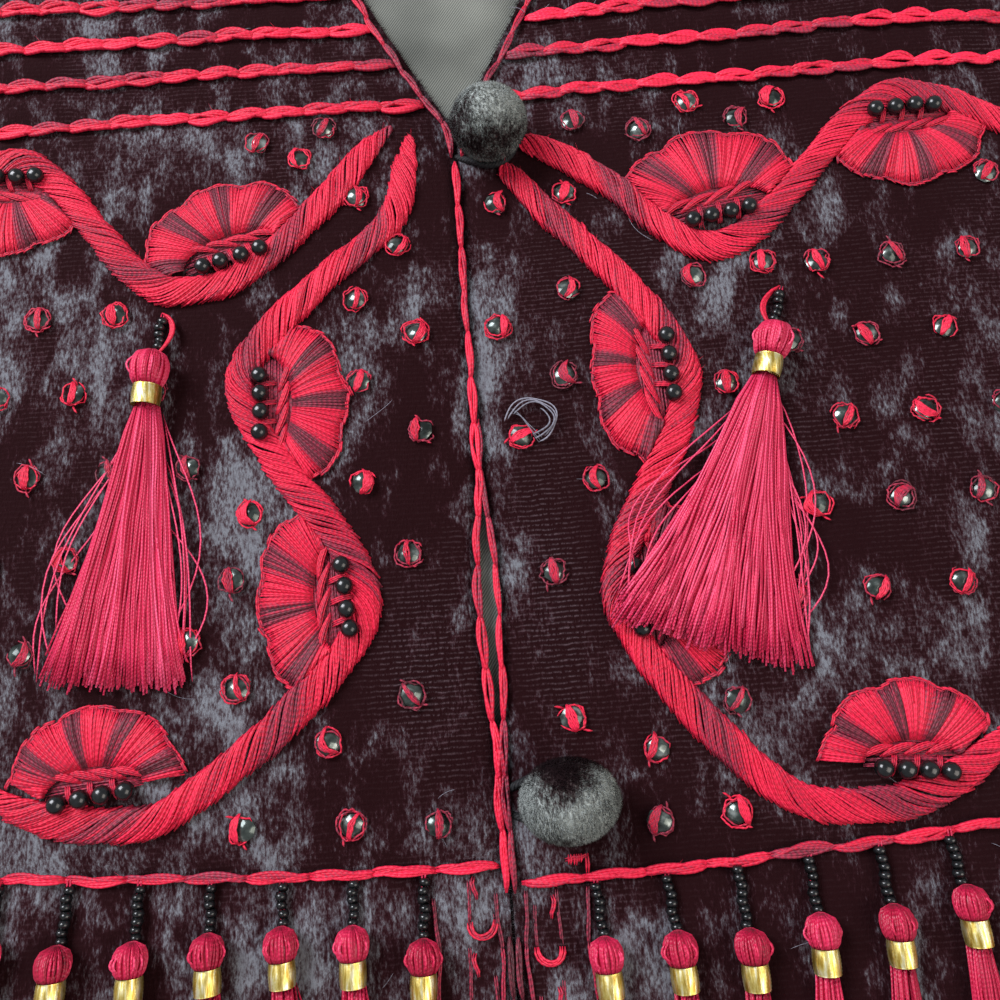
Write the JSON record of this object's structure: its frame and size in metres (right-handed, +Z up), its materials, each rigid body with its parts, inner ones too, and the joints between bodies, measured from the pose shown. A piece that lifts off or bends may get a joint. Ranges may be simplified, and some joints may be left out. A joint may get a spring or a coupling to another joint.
{
  "type": "velvet vest",
  "caption": "Black crushed velvet folk vest laid flat, with crimson vine embroidery, velvet ball buttons and silk tassels.",
  "frame": {"origin": "bottom centre of the vest as it lies flat on its back, on the surface it rests on", "axes": "+Y from hem to neck along the centre front, +X to the wearer's left, +Z up out of the cloth"},
  "size_m": [0.464, 0.473, 0.0229],
  "materials": {
    "velvet": "matte",
    "lining": "satin",
    "thread": "satin",
    "silk": "satin",
    "cord": "matte",
    "gold": "satin",
    "bead": "gloss",
    "mirror": "gloss"
  },
  "bodies": {
    "root": {"back": "velvet", "back_lining": "lining", "front_left": "velvet", "front_right": "velvet", "button_top": "velvet", "button_waist": "velvet", "loop_top": "cord", "loop_waist": "cord", "vine_upper_left": "thread", "vine_upper_right": "thread", "vine_lower_left": "thread", "vine_lower_right": "thread", "flower_cup_left": "thread", "flower_cup_right": "thread", "flower_bend_left": "thread", "flower_bend_right": "thread", "flower_crook_left": "thread", "flower_crook_right": "thread", "flower_arch_left": "thread", "flower_arch_right": "thread", "flower_outer_bend_left": "thread", "flower_outer_bend_right": "thread", "flower_outer_crook_left": "thread", "flower_outer_crook_right": "thread", "flower_tail_left": "thread", "flower_tail_right": "thread", "tassel_chest_left": "silk", "tassel_chest_right": "silk", "tassel_waist_left_01": "silk", "tassel_waist_left_02": "silk", "tassel_waist_left_03": "silk", "tassel_waist_left_04": "silk", "tassel_waist_left_05": "silk", "tassel_waist_left_06": "silk", "tassel_waist_left_07": "silk", "tassel_waist_left_08": "silk", "tassel_waist_left_09": "silk", "tassel_waist_left_10": "silk", "tassel_waist_left_11": "silk", "tassel_waist_left_12": "silk", "tassel_waist_left_13": "silk", "tassel_waist_right_01": "silk", "tassel_waist_right_02": "silk", "tassel_waist_right_03": "silk", "tassel_waist_right_04": "silk", "tassel_waist_right_05": "silk", "tassel_waist_right_06": "silk", "tassel_waist_right_07": "silk", "tassel_waist_right_08": "silk", "tassel_waist_right_09": "silk", "tassel_waist_right_10": "silk", "tassel_waist_right_11": "silk", "tassel_waist_right_12": "silk", "tassel_waist_right_13": "silk"}
  },
  "joints": []
}
